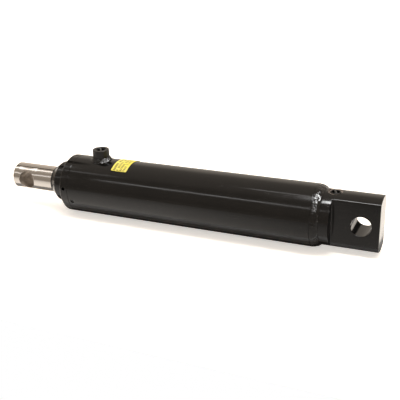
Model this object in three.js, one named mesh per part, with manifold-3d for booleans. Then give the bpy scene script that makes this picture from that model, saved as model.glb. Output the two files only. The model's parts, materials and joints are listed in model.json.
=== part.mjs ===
// Double-acting hydraulic cylinder: a welded barrel with a flat tang at the base end, a screwed-in gland,
// and a cross-drilled rod. Shown retracted.
//
// Millimetres. +X runs along the axis from the rod end to the base end, and +Z through the rod-end port.
// The origin is the centre of the base pin hole. Angles round the barrel are measured from -Y towards +Z.

import Module from 'manifold-3d';
import * as THREE from 'three';
import { mergeVertices } from 'three/addons/utils/BufferGeometryUtils.js';

const wasm = await Module();
wasm.setup();

// ---- Driving dimensions ----

const INCH = 25.4;
const BARREL_R = (3.25 * INCH) / 2;
const BORE_R = (2.75 * INCH) / 2;
const ROD_R = (1.5 * INCH) / 2;
const PIN_HOLE_R = 13.1; // clears a 1 in pin
const PIN_TO_PIN = 500; // retracted, base pin hole to rod pin hole
const STROKE = 10 * INCH;
const GAP = 0.3; // between one solid and the next
const STOP_CLEARANCE = 0.5; // piston to gland, fully extended

// Base end block, along X.
const BLOCK_RIGHT = 23.2;
const FLATS_LEFT = -37.7;
const BEAD_RIGHT = -49.5;
const TUBE_RIGHT = -60.7;
const SPIGOT_LEFT = -68;
const BAR_R = 36.5;
const TANG_THICKNESS = 36.5;
const BEVEL_LENGTH = 4.2; // weld preparation on the tube's end
const BASE_PORT_X = -37.3;
const BASE_PORT_DEPTH = 15; // of its thread, below its seat
const SEAT_R = 9.6; // spot-faced on the bar
const SEAT_DEPTH = 1.6; // below the top of the bar
const BASE_PLUG_TURN = 22; // degrees
const GALLERY_R = 4;
const BEAD_SHAPE = [[0.35, 0.1], [0.7, 0.45]]; // shares of its length and of its drop

// Gland, along X.
const GLAND_RIGHT = -366;
const SKIRT_R = 30;
const PILOT_RIGHT = -386;
const THREAD_RIGHT = -397;
const THREAD_R = 36.2;
const FLANGE_RIGHT = -414.2;
const FLANGE_LEFT = -426.2;
const NOSE_R = 28.85;
const CONE_RIGHT = -443.6;
const CONE_LEFT = -451.8;
const CONE_TIP_R = 22.65;
const WIPER_LEFT = -456.2;
const GLAND_BORE_R = 19.7;
const SPANNER_HOLE_R = 2.4;
const SPANNER_HOLE_DEPTH = 7;
const SPANNER_HOLE_COUNT = 4;
const SPANNER_TURN = 6.5; // degrees
const LOCK_SCREW_X = -408;
const LOCK_SCREW_R = 2.7;
const LOCK_SCREW_TURN = -19; // degrees

// Grooves, each [left, right, radius of its floor].
const WIPER_GROOVE = [-447.7, -441.7, 23.5];
const WIPER_MOUTH_R = 21.9;
const FRONT_GUIDE_GROOVE = [-418, -406, 22.3];
const ROD_SEAL_GROOVE = [-399, -391, 24.5];
const REAR_GUIDE_GROOVE = [-380, -370, 22.3];
const O_RING_GROOVE = [-394, -388, 31.2];
const BACKUP_RING_RIGHT = -391.4;

// Ports. Both have the same mouth and plug.
const PORT_X = -377;
const PORT_TOP = 56.1;
const PORT_BOSS_R = 11.65;
const PORT_THREAD_R = 7.2;
const PORT_CHAMFER_R = 7.8;
const PORT_DRILL_R = 5.5;
const PORT_WELD_R = 17.8;
const PORT_WELD_TOE = -2.3; // heights from the top of the barrel
const PORT_WELD_KNEE = 2.5;
const PORT_WELD_TOP = 4.7;
const PORT_WELD_KNEE_WIDTH = 2.3;
const PLUG_HEIGHT = 9.8;
const PLUG_FLOOR = 4; // above its bottom
const PLUG_RIM = 0.7; // below the top of its web
const PLUG_WALL = 1.1;
const PLUG_WEB = 2;
const PLUG_TURN = 32; // degrees

// Label.
const LABEL_LEFT = -349.4;
const LABEL_WIDTH = 24;
const LABEL_LENGTH = 2 * INCH; // round the barrel
const LABEL_START = 57; // degrees
const LABEL_THICKNESS = 0.3;

// Rod and piston, along X.
const ROD_TIP = 24.9; // rod end beyond its pin hole
const STUB_R = 12.5;
const PISTON_LENGTH = 36;
const NUT_RECESS = 12;
const NUT_RECESS_R = 20.5;
const NUT_LENGTH = 15.7;
const NUT_ACROSS_FLATS = 34;
const PISTON_SEAL_FLOOR_R = 28.5;
const ENERGISER_R = 31.3;
const GUIDE_FLOOR_R = 32.2;
const STATIC_SEAL_FLOOR_R = 10.2;
const ROD_CHAMFER = 1.5;
const CHAMFER = 1;

// Starts and widths of the piston's grooves, from its left face.
const FRONT_GUIDE_START = 3;
const PISTON_SEAL_START = 13;
const REAR_GUIDE_START = 25;
const STATIC_SEAL_START = 10.5;
const GUIDE_WIDTH = 6;
const PISTON_SEAL_WIDTH = 8;
const STATIC_SEAL_WIDTH = 3.5;

// Seal sections: an eight-sided O-ring's corner, as a share of its side, and the U-cup's notch.
const O_RING_CORNER = 1 - Math.SQRT1_2;
const NOTCH_DEPTH = 2.5;

// Facets round a full turn.
const LARGE_SIDES = 48;
const RING_SIDES = 36;
const SMALL_SIDES = 24;
const SCREW_SIDES = 12;
const HEX_SIDES = 6;
const LABEL_STEPS = 16; // round the barrel

// Derived stations.
const TUBE_LEFT = FLANGE_RIGHT + GAP;
const PISTON_LEFT = GLAND_RIGHT + STROKE + STOP_CLEARANCE;
const PISTON_RIGHT = PISTON_LEFT + PISTON_LENGTH;
const NUT_LEFT = PISTON_RIGHT - NUT_RECESS + GAP;
const STUB_RIGHT = NUT_LEFT + NUT_LENGTH + STOP_CLEARANCE;
const SLIDING_R = BORE_R - GAP;
const SEALING_R = ROD_R + GAP;

// Piston grooves, each [left, right, radius of its floor].
function pistonGroove(start, width, floorR) {
  return [PISTON_LEFT + start, PISTON_LEFT + start + width, floorR];
}

const PISTON_FRONT_GROOVE = pistonGroove(FRONT_GUIDE_START, GUIDE_WIDTH, GUIDE_FLOOR_R);
const PISTON_SEAL_GROOVE = pistonGroove(PISTON_SEAL_START, PISTON_SEAL_WIDTH, PISTON_SEAL_FLOOR_R);
const PISTON_REAR_GROOVE = pistonGroove(REAR_GUIDE_START, GUIDE_WIDTH, GUIDE_FLOOR_R);
const STATIC_SEAL_GROOVE = pistonGroove(STATIC_SEAL_START, STATIC_SEAL_WIDTH, STATIC_SEAL_FLOOR_R);

// ---- Materials ----

function finish(color, roughness, metalness) {
  return new THREE.MeshStandardMaterial({ color, roughness, metalness, flatShading: true });
}

const blackEnamel = () => finish(0x14120f, 0.25, 0);
const chromedSteel = () => finish(0xcfc8bd, 0.15, 1);
const bareSteel = () => finish(0x8f8a84, 0.4, 1);
const yellowPaper = () => finish(0xe2c72c, 0.6, 0);
const blackPlastic = () => finish(0x1b1a18, 0.45, 0);
const nitrile = () => finish(0x202020, 0.8, 0);
const polyurethane = () => finish(0x3c4a63, 0.55, 0);
const filledNylon = () => finish(0xc9b48a, 0.6, 0);

// ---- Shape helpers ----

// Solid of revolution about X from [x, radius] points. Read left to right along the outside, then back
// along the inside. An outline that starts on the axis also ends there.
function turned(outline, sides) {
  return revolved(outline, sides).rotateZ(-Math.PI / 2);
}

// The same about Z, from [z, radius] points.
function standing(outline, sides) {
  return revolved(outline, sides).rotateX(Math.PI / 2);
}

function revolved(outline, sides) {
  const points = outline.map(([along, radius]) => new THREE.Vector2(radius, along));
  const startsOnAxis = outline[0][1] === 0;
  if (!startsOnAxis) points.push(points[0].clone());
  return new THREE.LatheGeometry(points, sides);
}

// A ring of rectangular section that fills a groove, less the gap to the groove's walls.
function ringIn([left, right], innerR, outerR, sides = RING_SIDES) {
  const start = left + GAP;
  const end = right - GAP;
  return turned([[start, innerR], [start, outerR], [end, outerR], [end, innerR]], sides);
}

// An O-ring in a groove: an eight-sided section.
function oRingIn([left, right], innerR, outerR, sides = RING_SIDES) {
  const start = left + GAP;
  const end = right - GAP;
  const cut = O_RING_CORNER * Math.min(end - start, outerR - innerR);
  return turned([
    [start, innerR + cut], [start, outerR - cut], [start + cut, outerR], [end - cut, outerR],
    [end, outerR - cut], [end, innerR + cut], [end - cut, innerR], [start + cut, innerR],
  ], sides);
}

// Two outline points down into a groove and two back out of it, met from its left end.
function outsideGroove([left, right, floorR], surfaceR) {
  return [[left, surfaceR], [left, floorR], [right, floorR], [right, surfaceR]];
}

// The same on an inside surface, met from its right end.
function insideGroove(groove, surfaceR) {
  return outsideGroove(groove, surfaceR).reverse();
}

// A round drill from one end to the other along X, Y or Z.
function drillX(radius, left, right, sides = SMALL_SIDES) {
  const drill = new THREE.CylinderGeometry(radius, radius, right - left, sides);
  return drill.rotateZ(Math.PI / 2).translate((left + right) / 2, 0, 0);
}

function drillY(radius, x, halfLength, sides = SMALL_SIDES) {
  return new THREE.CylinderGeometry(radius, radius, 2 * halfLength, sides).translate(x, 0, 0);
}

function drillZ(radius, x, bottom, top, sides = SMALL_SIDES) {
  const drill = new THREE.CylinderGeometry(radius, radius, top - bottom, sides);
  return drill.rotateX(Math.PI / 2).translate(x, 0, (bottom + top) / 2);
}

// A radial drill into the barrel's side, between two radii, at an angle from -Y towards +Z.
function drillRadial(radius, x, innerR, outerR, degrees, sides = SMALL_SIDES) {
  const drill = new THREE.CylinderGeometry(radius, radius, outerR - innerR, sides);
  drill.translate(x, -(innerR + outerR) / 2, 0);
  return drill.rotateX(-THREE.MathUtils.degToRad(degrees));
}

function solid(geometry) {
  const bare = geometry.clone();
  bare.deleteAttribute('normal');
  bare.deleteAttribute('uv');
  const merged = mergeVertices(bare);
  const triVerts = [];
  for (let i = 0; i < merged.index.count; i += 3) {
    const corners = [0, 1, 2].map((k) => merged.index.getX(i + k));
    if (new Set(corners).size === 3) triVerts.push(...corners);
  }
  return new wasm.Manifold(new wasm.Mesh({
    numProp: 3,
    vertProperties: Float32Array.from(merged.attributes.position.array),
    triVerts: Uint32Array.from(triVerts),
  }));
}

function geometryOf(manifold) {
  const { vertProperties, triVerts } = manifold.getMesh();
  const geometry = new THREE.BufferGeometry();
  geometry.setAttribute('position', new THREE.BufferAttribute(vertProperties, 3));
  geometry.setIndex(new THREE.BufferAttribute(triVerts, 1));
  return geometry;
}

// The body with every cutter taken away.
function cut(body, cutters) {
  const result = cutters.reduce((rest, cutter) => rest.subtract(solid(cutter)), solid(body));
  return geometryOf(result);
}

function join(first, second) {
  return geometryOf(solid(first).add(solid(second)));
}

const cylinder = new THREE.Group();

function place(name, geometry, material) {
  const mesh = new THREE.Mesh(geometry, material);
  mesh.name = name;
  cylinder.add(mesh);
  return mesh;
}

// ---- Barrel ----

function barrelTube() {
  const threadFloorR = THREAD_R + GAP;
  const tube = turned([
    [TUBE_LEFT, threadFloorR], [TUBE_LEFT, BARREL_R], [TUBE_RIGHT, BARREL_R],
    [TUBE_RIGHT + BEVEL_LENGTH, BORE_R + CHAMFER], [TUBE_RIGHT + BEVEL_LENGTH, BORE_R],
    [THREAD_RIGHT + GAP, BORE_R], [THREAD_RIGHT + GAP, threadFloorR],
  ], LARGE_SIDES);
  const screwHoleR = LOCK_SCREW_R + GAP;
  return cut(tube, [
    drillZ(PORT_DRILL_R, PORT_X, 0, PORT_TOP),
    drillRadial(screwHoleR, LOCK_SCREW_X, SKIRT_R, BARREL_R + CHAMFER, LOCK_SCREW_TURN, SCREW_SIDES),
  ]);
}

function lockScrew() {
  const bottom = THREAD_R + GAP;
  const top = BARREL_R - CHAMFER;
  const socketR = LOCK_SCREW_R / 2;
  const socketFloor = (bottom + top) / 2;
  return cut(drillRadial(LOCK_SCREW_R, LOCK_SCREW_X, bottom, top, LOCK_SCREW_TURN, SCREW_SIDES), [
    drillRadial(socketR, LOCK_SCREW_X, socketFloor, top + CHAMFER, LOCK_SCREW_TURN, HEX_SIDES),
  ]);
}

// Inner edge of the ring above the bar, and the tube's bevel followed at one gap's distance.
function baseWeldBead() {
  const floorR = BAR_R + GAP;
  const bevelHeight = BARREL_R - BORE_R - CHAMFER;
  const bevelShift = (GAP * Math.hypot(BEVEL_LENGTH, bevelHeight)) / bevelHeight;
  const bevelX = (radius) => TUBE_RIGHT + bevelShift + (BEVEL_LENGTH * (BARREL_R - radius)) / bevelHeight;
  const length = BEAD_RIGHT - TUBE_RIGHT;
  const height = BARREL_R - floorR;
  return turned([
    [bevelX(floorR), floorR], [bevelX(BARREL_R), BARREL_R],
    ...BEAD_SHAPE.map(([along, down]) => [TUBE_RIGHT + along * length, BARREL_R - down * height]),
    [BEAD_RIGHT, floorR],
  ], LARGE_SIDES);
}

function baseEndBlock() {
  const shoulderX = TUBE_RIGHT + BEVEL_LENGTH + GAP;
  const bar = turned([
    [SPIGOT_LEFT, 0], [SPIGOT_LEFT, SLIDING_R - CHAMFER], [SPIGOT_LEFT + CHAMFER, SLIDING_R],
    [shoulderX, SLIDING_R], [shoulderX, BAR_R],
    [BLOCK_RIGHT - CHAMFER, BAR_R], [BLOCK_RIGHT, BAR_R - CHAMFER], [BLOCK_RIGHT, 0],
  ], LARGE_SIDES);
  const flatsLength = BLOCK_RIGHT - FLATS_LEFT + CHAMFER;
  const flat = (side) => new THREE.BoxGeometry(flatsLength, BAR_R, 2 * BARREL_R).translate(
    FLATS_LEFT + flatsLength / 2, side * (TANG_THICKNESS + BAR_R) / 2, 0);
  const seat = BAR_R - SEAT_DEPTH;
  const mouth = standing([
    [0, 0], [0, PORT_DRILL_R], [seat - BASE_PORT_DEPTH, PORT_DRILL_R], [seat - BASE_PORT_DEPTH, PORT_THREAD_R],
    [seat - PORT_CHAMFER_R + PORT_THREAD_R, PORT_THREAD_R], [seat, PORT_CHAMFER_R], [seat, SEAT_R],
    [BARREL_R, SEAT_R], [BARREL_R, 0],
  ], SMALL_SIDES).translate(BASE_PORT_X, 0, 0);
  return cut(bar, [
    flat(-1),
    flat(1),
    drillY(PIN_HOLE_R, 0, BAR_R, RING_SIDES),
    mouth,
    drillX(GALLERY_R, SPIGOT_LEFT - CHAMFER, BASE_PORT_X),
  ]);
}

function label() {
  const innerR = BARREL_R + GAP;
  const outerR = innerR + LABEL_THICKNESS;
  const start = THREE.MathUtils.degToRad(270 - LABEL_START);
  const end = start - LABEL_LENGTH / BARREL_R;
  const outline = new THREE.Shape();
  outline.absarc(0, 0, outerR, start, end, true);
  outline.absarc(0, 0, innerR, end, start, false);
  const sheet = new THREE.ExtrudeGeometry(outline, {
    depth: LABEL_WIDTH, bevelEnabled: false, curveSegments: LABEL_STEPS,
  });
  return sheet.rotateY(Math.PI / 2).translate(LABEL_LEFT, 0, 0);
}

// ---- Rod-end port and the plugs ----

// What the port's pieces stand on: the barrel with the gap round it.
function barrelClearance() {
  const radius = BARREL_R + GAP;
  return drillX(radius, PORT_X - BARREL_R, PORT_X + BARREL_R, LARGE_SIDES);
}

function portBoss() {
  const bottom = BARREL_R / 2;
  const chamferDepth = PORT_CHAMFER_R - PORT_THREAD_R;
  const boss = standing([
    [bottom, PORT_THREAD_R], [bottom, PORT_BOSS_R],
    [PORT_TOP - CHAMFER, PORT_BOSS_R], [PORT_TOP, PORT_BOSS_R - CHAMFER],
    [PORT_TOP, PORT_CHAMFER_R], [PORT_TOP - chamferDepth, PORT_THREAD_R],
  ], SMALL_SIDES).translate(PORT_X, 0, 0);
  return cut(boss, [barrelClearance()]);
}

function portWeld() {
  const innerR = PORT_BOSS_R + GAP;
  const bottom = BARREL_R / 2;
  const weld = standing([
    [bottom, innerR], [bottom, PORT_WELD_R], [BARREL_R + PORT_WELD_TOE, PORT_WELD_R],
    [BARREL_R + PORT_WELD_KNEE, innerR + PORT_WELD_KNEE_WIDTH], [BARREL_R + PORT_WELD_TOP, innerR],
  ], SMALL_SIDES).translate(PORT_X, 0, 0);
  return cut(weld, [barrelClearance()]);
}

// A moulded cup with a web across it to grip, its top at a height.
function portPlug(x, top, turn) {
  const outerR = PORT_THREAD_R - GAP;
  const innerR = outerR - PLUG_WALL;
  const cup = standing([
    [0, 0], [0, outerR], [PLUG_HEIGHT - PLUG_RIM, outerR], [PLUG_HEIGHT - PLUG_RIM, innerR],
    [PLUG_FLOOR, innerR], [PLUG_FLOOR, 0],
  ], SMALL_SIDES);
  const webHeight = PLUG_HEIGHT - PLUG_FLOOR;
  const web = new THREE.BoxGeometry(PLUG_WEB, 2 * innerR, webHeight + PLUG_WALL).translate(
    0, 0, PLUG_FLOOR + (webHeight - PLUG_WALL) / 2);
  return join(cup, web).rotateZ(THREE.MathUtils.degToRad(turn)).translate(x, 0, top - PLUG_HEIGHT);
}

// ---- Gland and its seals ----

function gland() {
  const body = turned([
    [CONE_LEFT, WIPER_MOUTH_R], [CONE_LEFT, CONE_TIP_R], [CONE_RIGHT, NOSE_R],
    [FLANGE_LEFT, NOSE_R], [FLANGE_LEFT, BARREL_R - CHAMFER], [FLANGE_LEFT + CHAMFER, BARREL_R],
    [FLANGE_RIGHT, BARREL_R], [FLANGE_RIGHT, THREAD_R],
    [THREAD_RIGHT, THREAD_R], [THREAD_RIGHT, SLIDING_R],
    ...outsideGroove(O_RING_GROOVE, SLIDING_R),
    [PILOT_RIGHT, SLIDING_R], [PILOT_RIGHT + CHAMFER, SKIRT_R],
    [GLAND_RIGHT, SKIRT_R], [GLAND_RIGHT, GLAND_BORE_R],
    ...insideGroove(REAR_GUIDE_GROOVE, GLAND_BORE_R),
    ...insideGroove(ROD_SEAL_GROOVE, GLAND_BORE_R),
    ...insideGroove(FRONT_GUIDE_GROOVE, GLAND_BORE_R),
    [WIPER_GROOVE[1], GLAND_BORE_R], [WIPER_GROOVE[1], WIPER_GROOVE[2]],
    [WIPER_GROOVE[0], WIPER_GROOVE[2]], [WIPER_GROOVE[0], WIPER_MOUTH_R],
  ], RING_SIDES);
  const x = (FLANGE_LEFT + FLANGE_RIGHT) / 2;
  const step = 360 / SPANNER_HOLE_COUNT;
  const holes = Array.from({ length: SPANNER_HOLE_COUNT }, (_, i) => drillRadial(
    SPANNER_HOLE_R, x, BARREL_R - SPANNER_HOLE_DEPTH, BARREL_R + CHAMFER, SPANNER_TURN + i * step,
    SCREW_SIDES));
  return cut(body, holes);
}

function wiper() {
  const lipR = CONE_TIP_R - GAP;
  return turned([
    [WIPER_LEFT, SEALING_R], [WIPER_LEFT, SEALING_R + GAP], [CONE_LEFT - GAP, lipR],
    [CONE_LEFT - GAP, WIPER_MOUTH_R - GAP], [WIPER_GROOVE[0] + GAP, WIPER_MOUTH_R - GAP],
    [WIPER_GROOVE[0] + GAP, WIPER_GROOVE[2] - GAP], [WIPER_GROOVE[1] - GAP, WIPER_GROOVE[2] - GAP],
    [WIPER_GROOVE[1] - GAP, SEALING_R],
  ], RING_SIDES);
}

// A U-cup whose notch faces the oil.
function rodSeal() {
  const [left, right, floorR] = ROD_SEAL_GROOVE;
  const outerR = floorR - GAP;
  return turned([
    [left + GAP, SEALING_R], [left + GAP, outerR], [right - GAP, outerR],
    [right - GAP - NOTCH_DEPTH, (SEALING_R + outerR) / 2], [right - GAP, SEALING_R],
  ], RING_SIDES);
}

// ---- Rod and piston ----

function pistonRod() {
  const tip = -PIN_TO_PIN - ROD_TIP;
  const bar = turned([
    [tip, 0], [tip, ROD_R - ROD_CHAMFER], [tip + ROD_CHAMFER, ROD_R],
    [PISTON_LEFT - GAP, ROD_R], [PISTON_LEFT - GAP, STUB_R],
    ...outsideGroove(STATIC_SEAL_GROOVE, STUB_R),
    [STUB_RIGHT, STUB_R], [STUB_RIGHT, 0],
  ], RING_SIDES);
  return cut(bar, [drillY(PIN_HOLE_R, -PIN_TO_PIN, 2 * ROD_R, RING_SIDES)]);
}

function piston() {
  const boreR = STUB_R + GAP;
  return turned([
    [PISTON_LEFT, boreR], [PISTON_LEFT, SLIDING_R - CHAMFER], [PISTON_LEFT + CHAMFER, SLIDING_R],
    ...outsideGroove(PISTON_FRONT_GROOVE, SLIDING_R),
    ...outsideGroove(PISTON_SEAL_GROOVE, SLIDING_R),
    ...outsideGroove(PISTON_REAR_GROOVE, SLIDING_R),
    [PISTON_RIGHT - CHAMFER, SLIDING_R], [PISTON_RIGHT, SLIDING_R - CHAMFER],
    [PISTON_RIGHT, NUT_RECESS_R], [PISTON_RIGHT - NUT_RECESS, NUT_RECESS_R],
    [PISTON_RIGHT - NUT_RECESS, boreR],
  ], RING_SIDES);
}

function lockNut() {
  const cornerR = NUT_ACROSS_FLATS / 2 / Math.cos(Math.PI / 6);
  const hexagon = new THREE.Shape(Array.from({ length: HEX_SIDES }, (_, i) => new THREE.Vector2(
    cornerR * Math.cos((i * Math.PI) / 3), cornerR * Math.sin((i * Math.PI) / 3))));
  hexagon.holes.push(new THREE.Path().absarc(0, 0, STUB_R + GAP, 0, 2 * Math.PI, false));
  const nut = new THREE.ExtrudeGeometry(hexagon, {
    depth: NUT_LENGTH, bevelEnabled: false, curveSegments: SMALL_SIDES,
  });
  return nut.rotateY(Math.PI / 2).translate(NUT_LEFT, 0, 0);
}

// ---- The assembly ----

place('barrel_tube', barrelTube(), blackEnamel());
place('base_end_block', baseEndBlock(), blackEnamel());
place('base_weld_bead', baseWeldBead(), blackEnamel());
place('base_port_plug', portPlug(BASE_PORT_X, BAR_R - GAP, BASE_PLUG_TURN), blackPlastic());
place('rod_port_boss', portBoss(), blackEnamel());
place('rod_port_weld', portWeld(), blackEnamel());
place('rod_port_plug', portPlug(PORT_X, PORT_TOP - GAP, PLUG_TURN), blackPlastic());
place('label', label(), yellowPaper());

place('gland', gland(), blackEnamel());
place('gland_lock_screw', lockScrew(), bareSteel());
place('gland_o_ring', oRingIn([BACKUP_RING_RIGHT, O_RING_GROOVE[1]], O_RING_GROOVE[2] + GAP, SLIDING_R),
  nitrile());
place('gland_backup_ring', ringIn([O_RING_GROOVE[0], BACKUP_RING_RIGHT], O_RING_GROOVE[2] + GAP, SLIDING_R),
  filledNylon());
place('wiper', wiper(), polyurethane());
place('rod_seal', rodSeal(), polyurethane());
place('rod_guide_ring_front', ringIn(FRONT_GUIDE_GROOVE, SEALING_R, FRONT_GUIDE_GROOVE[2] - GAP),
  filledNylon());
place('rod_guide_ring_rear', ringIn(REAR_GUIDE_GROOVE, SEALING_R, REAR_GUIDE_GROOVE[2] - GAP),
  filledNylon());

place('piston_rod', pistonRod(), chromedSteel());
place('piston', piston(), bareSteel());
place('piston_lock_nut', lockNut(), bareSteel());
place('piston_static_o_ring', oRingIn(STATIC_SEAL_GROOVE, STATIC_SEAL_FLOOR_R + GAP, STUB_R), nitrile());
place('piston_energiser_ring', oRingIn(PISTON_SEAL_GROOVE, PISTON_SEAL_FLOOR_R + GAP, ENERGISER_R),
  nitrile());
place('piston_seal', ringIn(PISTON_SEAL_GROOVE, ENERGISER_R + GAP, SLIDING_R), polyurethane());
place('piston_guide_ring_front', ringIn(PISTON_FRONT_GROOVE, GUIDE_FLOOR_R + GAP, SLIDING_R),
  filledNylon());
place('piston_guide_ring_rear', ringIn(PISTON_REAR_GROOVE, GUIDE_FLOOR_R + GAP, SLIDING_R),
  filledNylon());

export default cylinder;
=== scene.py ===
"""Looks for a double-acting hydraulic cylinder: gloss black barrel, gland and tang, and a chromed rod.

Metres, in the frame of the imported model. Angles round the axis run from -Y (the front) towards +Z.
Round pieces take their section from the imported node, ease its corners and turn it finely.
"""
import json
import math

import bmesh
import bpy
from mathutils import Matrix, Vector, noise


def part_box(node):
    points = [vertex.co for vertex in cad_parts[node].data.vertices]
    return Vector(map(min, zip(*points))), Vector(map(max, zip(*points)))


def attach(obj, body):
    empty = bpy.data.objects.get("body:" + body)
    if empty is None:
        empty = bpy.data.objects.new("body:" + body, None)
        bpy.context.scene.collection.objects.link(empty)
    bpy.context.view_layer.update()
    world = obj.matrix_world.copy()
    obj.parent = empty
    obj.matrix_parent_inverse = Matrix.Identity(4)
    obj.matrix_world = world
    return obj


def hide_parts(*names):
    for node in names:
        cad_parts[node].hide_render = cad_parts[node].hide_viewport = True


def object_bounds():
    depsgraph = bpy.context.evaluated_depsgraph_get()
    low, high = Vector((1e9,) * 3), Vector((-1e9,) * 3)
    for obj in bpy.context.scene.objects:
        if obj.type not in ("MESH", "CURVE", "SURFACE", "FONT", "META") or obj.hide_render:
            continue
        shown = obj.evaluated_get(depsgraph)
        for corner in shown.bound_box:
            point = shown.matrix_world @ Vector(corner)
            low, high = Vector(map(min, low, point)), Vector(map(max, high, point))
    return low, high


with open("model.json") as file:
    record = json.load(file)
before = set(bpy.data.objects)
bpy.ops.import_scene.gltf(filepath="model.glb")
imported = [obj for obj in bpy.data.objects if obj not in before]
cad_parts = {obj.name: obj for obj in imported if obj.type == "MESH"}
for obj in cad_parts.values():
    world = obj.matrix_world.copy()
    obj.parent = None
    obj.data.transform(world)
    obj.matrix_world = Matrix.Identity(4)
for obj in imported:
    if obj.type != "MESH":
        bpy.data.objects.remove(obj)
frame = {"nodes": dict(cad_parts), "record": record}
cad_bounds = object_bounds()

# ---- Sizes ----

MM = 0.001
GAP = 0.3 * MM  # between one solid and the next
TINY = 0.001 * MM
COLUMNS = 192  # round a full turn of a large piece
RING_COLUMNS = 96
EASE_STEPS = 4
CORNER = math.radians(12)  # sharper turns than this are eased

PIN_HOLE_R = 13.1 * MM
TANG_HALF = 18.25 * MM
FLATS_LEFT = -37.7 * MM
BASE_PORT_DEPTH = 15 * MM  # of its thread, below its seat
SEAT_R = 9.6 * MM
SEAT_DEPTH = 1.6 * MM  # below the top of the bar
GALLERY_R = 4 * MM
PORT_DRILL_R = 5.5 * MM
SPANNER_HOLE_R = 2.4 * MM
SPANNER_HOLE_DEPTH = 7 * MM
SPANNER_HOLE_COUNT = 4
SPANNER_TURN = math.radians(6.5)
PORT_CHAMFER = 0.6 * MM
PLUG_FLOOR = 4 * MM  # above its bottom
PLUG_RIM = 0.7 * MM  # below the top of its web
PLUG_WALL = 1.1 * MM
PLUG_WEB = 2 * MM
ROD_PLUG_TURN = math.radians(32)
BASE_PLUG_TURN = math.radians(22)
THREAD_PITCH = 1.41 * MM  # 18 to the inch
THREAD_DEPTH = 0.35 * MM
MARK_X = -117 * MM  # a shallow ring left in the barrel
MARK_WIDTH = 0.5 * MM
MARK_DEPTH = 0.05 * MM

tube_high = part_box("barrel_tube")[1]
BARREL_R = tube_high.z
TUBE_RIGHT = tube_high.x
block_low, block_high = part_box("base_end_block")
BAR_R = block_high.z
BLOCK_LEFT = block_low.x
BLOCK_RIGHT = block_high.x
SLIDING_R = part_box("piston")[1].z
ROD_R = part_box("piston_rod")[1].z
openings = {opening["name"]: opening["box_m"] for opening in frame["record"]["physics"]["openings"]}


def middle(lowest, highest):
    return [(a + b) / 2 for a, b in zip(lowest, highest)]


def radius_of(node):
    lowest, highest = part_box(node)
    return (highest.x - lowest.x) / 2


BASE_PORT_X = middle(*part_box("base_port_plug"))[0]
ROD_PIN_X = middle(*openings["rod_pin_hole"])[0]
PORT_X = middle(*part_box("rod_port_boss"))[0]
SCREW_X, screw_y, screw_z = middle(*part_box("gland_lock_screw"))
SCREW_ANGLE = math.atan2(screw_z, -screw_y)
SCREW_HOLE_R = radius_of("gland_lock_screw") + GAP


# ---- Mesh tools ----

def around(x, radius, angle):
    """A point round the cylinder's axis."""
    return Vector((x, -radius * math.cos(angle), radius * math.sin(angle)))


def upright_at(x):
    """Gives a function that places points round a vertical axis, which crosses the cylinder's axis at x."""
    return lambda z, radius, angle: Vector((x + radius * math.cos(angle), radius * math.sin(angle), z))


def turns(count):
    return [2 * math.pi * j / count for j in range(count)]


def spread_over(start, end, count):
    return [start + (end - start) * i / count for i in range(count + 1)]


def about(x, half, count):
    return spread_over(x - half, x + half, count)


def quarter(steps):
    """(1 - sin, 1 - cos) at even steps of a quarter turn: the course of an eased edge."""
    return [(1 - math.sin(t), 1 - math.cos(t)) for t in spread_over(0, math.pi / 2, steps)]


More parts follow.
